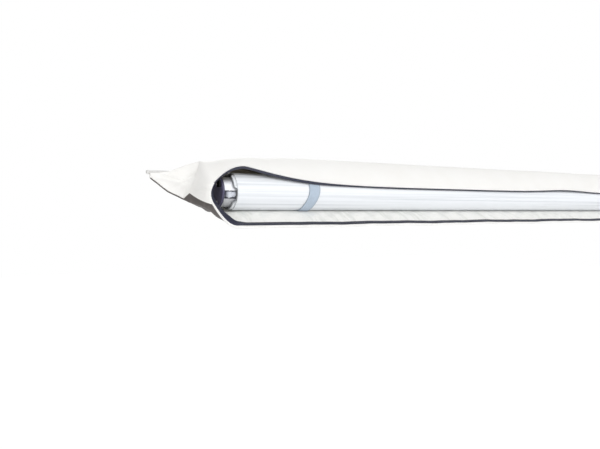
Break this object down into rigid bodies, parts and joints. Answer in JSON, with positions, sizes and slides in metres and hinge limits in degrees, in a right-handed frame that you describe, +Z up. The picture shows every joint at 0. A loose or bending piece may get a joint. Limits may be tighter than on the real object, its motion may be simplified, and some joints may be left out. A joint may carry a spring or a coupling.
{
  "type": "roll-out bag awning",
  "caption": "Soft bag awning that hangs from a wall rail: a canopy wound on a slotted tube inside a zipped bag, with fold-out telescoping legs and rafters.",
  "frame": {"origin": "centre of the keder piping at mid-length", "axes": "+X along the rail to the right as seen from the front, +Y to the wall, +Z up"},
  "size_m": [2.336, 0.1417, 0.1661],
  "materials": {
    "bag_pvc": "satin coated cloth",
    "bag_grey_pvc": "satin coated cloth",
    "zip_tape": "woven",
    "zip_plastic": "moulded",
    "zip_metal": "plated",
    "webbing": "woven",
    "keder_cord": "extruded",
    "canopy_cloth": "coated cloth",
    "tube_aluminium": "satin anodised",
    "cap_plastic": "moulded",
    "head_plastic": "moulded",
    "socket_plastic": "moulded",
    "steel": "plated",
    "arm_aluminium": "satin anodised",
    "collar_plastic": "moulded",
    "foot_rubber": "matt"
  },
  "bodies": {
    "bag": {"rail_keder": "bag_pvc", "keder_core": "keder_cord", "back_panel": "bag_pvc", "bottom_panel": "bag_grey_pvc", "lip_gusset_left": "bag_grey_pvc", "lip_gusset_right": "bag_grey_pvc", "lip_hem": "bag_pvc", "lower_zip_tape": "zip_tape", "lower_zip_chain": "zip_plastic", "end_sleeve_left": "bag_pvc", "end_sleeve_right": "bag_pvc", "canopy_seam_strip": "bag_pvc", "strap_left": "webbing", "strap_right": "webbing"},
    "flap": {"top_flap": "bag_pvc", "flap_hem": "bag_pvc", "upper_zip_tape": "zip_tape"},
    "zip_slider": {"zip_slider": "zip_metal"},
    "zip_pull": {"zip_pull": "zip_metal"},
    "canopy_lead": {"canopy_web": "canopy_cloth"},
    "roll": {"canopy_roll": "canopy_cloth", "canopy_bolt_rope": "canopy_cloth", "roller_tube": "tube_aluminium", "end_cap_left": "cap_plastic", "end_cap_right": "cap_plastic", "end_socket_left": "socket_plastic", "end_socket_right": "socket_plastic", "cap_screws": "steel", "leg_pins": "steel", "rafter_pins": "steel"},
    "leg_left": {"leg_head_left": "cap_plastic", "leg_tube_left": "arm_aluminium", "leg_collar_left": "collar_plastic"},
    "leg_left_inner": {"leg_inner_left": "arm_aluminium", "leg_foot_left": "foot_rubber"},
    "leg_right": {"leg_head_right": "cap_plastic", "leg_tube_right": "arm_aluminium", "leg_collar_right": "collar_plastic"},
    "leg_right_inner": {"leg_inner_right": "arm_aluminium", "leg_foot_right": "foot_rubber"},
    "rafter_left": {"rafter_head_left": "head_plastic", "rafter_tube_left": "arm_aluminium", "rafter_collar_left": "collar_plastic"},
    "rafter_left_inner": {"rafter_inner_left": "arm_aluminium", "rafter_shoe_left": "foot_rubber"},
    "rafter_right": {"rafter_head_right": "head_plastic", "rafter_tube_right": "arm_aluminium", "rafter_collar_right": "collar_plastic"},
    "rafter_right_inner": {"rafter_inner_right": "arm_aluminium", "rafter_shoe_right": "foot_rubber"}
  },
  "joints": [
    {"name": "flap_lift", "type": "hinge", "parent": "bag", "child": "flap", "pos_m": [0, 0, 0], "axis": [-1, 0, 0], "range_deg": [0, 95]},
    {"name": "zip_slide", "type": "slide", "parent": "bag", "child": "zip_slider", "axis": [-1, 0, 0], "range_m": [0, 1.968]},
    {"name": "zip_pull_swing", "type": "hinge", "parent": "zip_slider", "child": "zip_pull", "pos_m": [0.984, -0.11434, -0.10547], "axis": [-1, 0, 0], "range_deg": [0, 110]},
    {"name": "roll_out", "type": "slide", "parent": "bag", "child": "canopy_lead", "axis": [0, -0.9781, -0.2079], "range_m": [0, 1.725], "deforming": ["canopy_web", "canopy_roll", "strap_left", "strap_right", "top_flap", "flap_hem", "upper_zip_tape"]},
    {"name": "roll_spin", "type": "hinge", "parent": "canopy_lead", "child": "roll", "pos_m": [0, -0.046, -0.04], "axis": [-1, 0, 0], "range_deg": [0, 2702]},
    {"name": "leg_left_swing", "type": "hinge", "parent": "roll", "child": "leg_left", "pos_m": [-1.012, -0.04635, -0.02], "axis": [0, -0.9998, -0.0175], "range_deg": [0, 90]},
    {"name": "leg_left_extend", "type": "slide", "parent": "leg_left", "child": "leg_left_inner", "axis": [1, 0, 0], "range_m": [0, 0.821]},
    {"name": "leg_right_swing", "type": "hinge", "parent": "roll", "child": "leg_right", "pos_m": [1.012, -0.04635, -0.02], "axis": [0, 0.9998, 0.0175], "range_deg": [0, 90]},
    {"name": "leg_right_extend", "type": "slide", "parent": "leg_right", "child": "leg_right_inner", "axis": [-1, 0, 0], "range_m": [0, 0.821]},
    {"name": "rafter_left_swing", "type": "hinge", "parent": "roll", "child": "rafter_left", "pos_m": [-1.012, -0.06792, -0.04506], "axis": [0, 0.225, -0.9744], "range_deg": [0, 90]},
    {"name": "rafter_left_extend", "type": "slide", "parent": "rafter_left", "child": "rafter_left_inner", "axis": [1, 0, 0], "range_m": [0, 0.681]},
    {"name": "rafter_right_swing", "type": "hinge", "parent": "roll", "child": "rafter_right", "pos_m": [1.012, -0.06792, -0.04506], "axis": [0, -0.225, 0.9744], "range_deg": [0, 90]},
    {"name": "rafter_right_extend", "type": "slide", "parent": "rafter_right", "child": "rafter_right_inner", "axis": [-1, 0, 0], "range_m": [0, 0.681]}
  ],
  "couplings": [
    {"joint": "roll_spin", "follows": "roll_out", "rad_per_m": 27.328},
    {"joint": "leg_left_extend", "follows": "leg_left_swing", "m_per_rad": 0.52203},
    {"joint": "leg_right_extend", "follows": "leg_right_swing", "m_per_rad": 0.52203},
    {"joint": "rafter_left_extend", "follows": "rafter_left_swing", "m_per_rad": 0.4329},
    {"joint": "rafter_right_extend", "follows": "rafter_right_swing", "m_per_rad": 0.4329}
  ]
}
